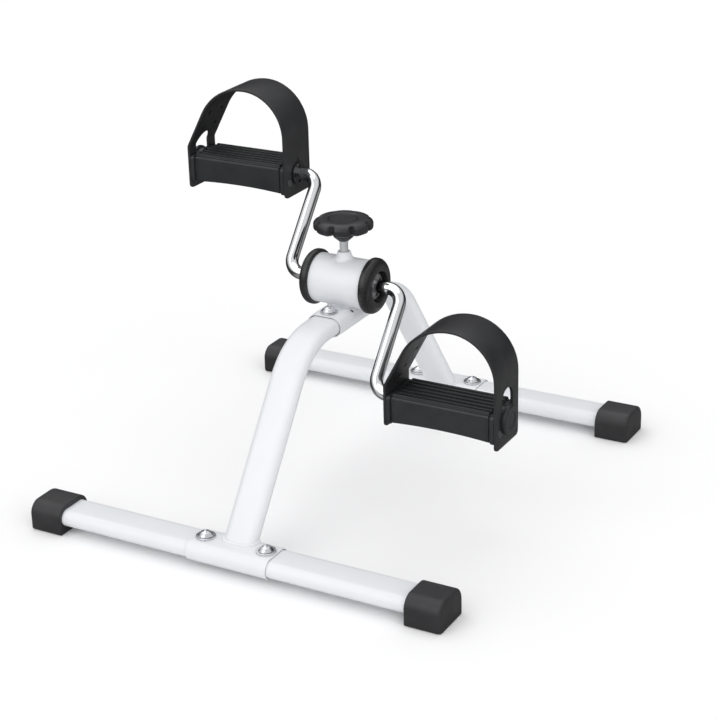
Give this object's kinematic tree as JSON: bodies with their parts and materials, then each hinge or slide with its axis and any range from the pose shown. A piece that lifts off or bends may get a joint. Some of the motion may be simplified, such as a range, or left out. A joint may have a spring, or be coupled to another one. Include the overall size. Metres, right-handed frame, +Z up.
{
  "type": "pedal exerciser",
  "caption": "Floor-standing pedal exerciser: white flat-oval tube frame on two foot bars, hub with a screw-down friction brake, bent-rod cranks and strapped pedals.",
  "frame": {"origin": "on the floor under the middle of the hub, which is the centre of the footprint", "axes": "+X to the user's right seen from the front, along the crank axle; +Y from the front foot bar to the rear one; +Z up"},
  "size_m": [0.42, 0.45, 0.3572],
  "materials": {
    "white_powder_coat": "satin",
    "foot_cap_plastic": "satin",
    "hub_plastic": "satin",
    "knob_plastic": "satin",
    "pedal_plastic": "satin",
    "strap_plastic": "satin",
    "rivet_plastic": "satin",
    "crank_chrome": "polished",
    "zinc_fasteners": "bright zinc",
    "raw_steel": "machined",
    "nylon_bush": "natural nylon",
    "brake_felt": "pressed felt"
  },
  "bodies": {
    "frame": {"hub_shell": "white_powder_coat", "tension_collar": "white_powder_coat", "top_bracket": "white_powder_coat", "front_leg": "white_powder_coat", "rear_leg": "white_powder_coat", "front_foot_sleeve": "white_powder_coat", "rear_foot_sleeve": "white_powder_coat", "front_left_foot_tube": "white_powder_coat", "front_right_foot_tube": "white_powder_coat", "rear_left_foot_tube": "white_powder_coat", "rear_right_foot_tube": "white_powder_coat", "front_left_foot_cap": "foot_cap_plastic", "front_right_foot_cap": "foot_cap_plastic", "rear_left_foot_cap": "foot_cap_plastic", "rear_right_foot_cap": "foot_cap_plastic", "foot_bolts": "zinc_fasteners", "foot_washers": "zinc_fasteners", "bracket_bolts": "zinc_fasteners", "bracket_washers": "zinc_fasteners", "foot_weld_nuts": "raw_steel", "bracket_weld_nuts": "raw_steel", "left_hub_cover": "hub_plastic", "right_hub_cover": "hub_plastic", "left_hub_bush": "nylon_bush", "right_hub_bush": "nylon_bush", "left_thrust_washer": "zinc_fasteners", "right_thrust_washer": "zinc_fasteners"},
    "crankset": {"friction_drum": "raw_steel", "drum_pins": "raw_steel", "left_crank": "crank_chrome", "right_crank": "crank_chrome", "crank_clips": "raw_steel", "pedal_push_nuts": "raw_steel", "pedal_stop_rings": "raw_steel"},
    "pressure_pad": {"brake_pad": "brake_felt", "pad_plate": "raw_steel"},
    "knob": {"tension_screw": "zinc_fasteners", "tension_knob": "knob_plastic", "knob_cap": "knob_plastic"},
    "left_pedal": {"left_pedal_body": "pedal_plastic", "left_pedal_cap": "pedal_plastic", "left_pedal_strap": "strap_plastic", "left_pedal_rivets": "rivet_plastic", "left_pedal_bushes": "nylon_bush"},
    "right_pedal": {"right_pedal_body": "pedal_plastic", "right_pedal_cap": "pedal_plastic", "right_pedal_strap": "strap_plastic", "right_pedal_rivets": "rivet_plastic", "right_pedal_bushes": "nylon_bush"}
  },
  "joints": [
    {"name": "crank_spin", "type": "hinge", "parent": "frame", "child": "crankset", "pos_m": [0, 0, 0.2], "axis": [1, 0, 0], "continuous": true},
    {"name": "left_pedal_spin", "type": "hinge", "parent": "crankset", "child": "left_pedal", "pos_m": [-0.139, 0.06202, 0.27523], "axis": [1, 0, 0], "continuous": true},
    {"name": "right_pedal_spin", "type": "hinge", "parent": "crankset", "child": "right_pedal", "pos_m": [0.139, -0.06202, 0.12477], "axis": [1, 0, 0], "continuous": true},
    {"name": "tension_slide", "type": "slide", "parent": "frame", "child": "pressure_pad", "axis": [0, 0, 1], "range_m": [-0.00028, 0.0025]},
    {"name": "knob_turn", "type": "hinge", "parent": "pressure_pad", "child": "knob", "pos_m": [0, 0, 0.25], "axis": [0, 0, 1], "range_deg": [-80, 720]}
  ],
  "couplings": [
    {"joint": "tension_slide", "follows": "knob_turn", "m_per_rad": 0.00019894}
  ]
}
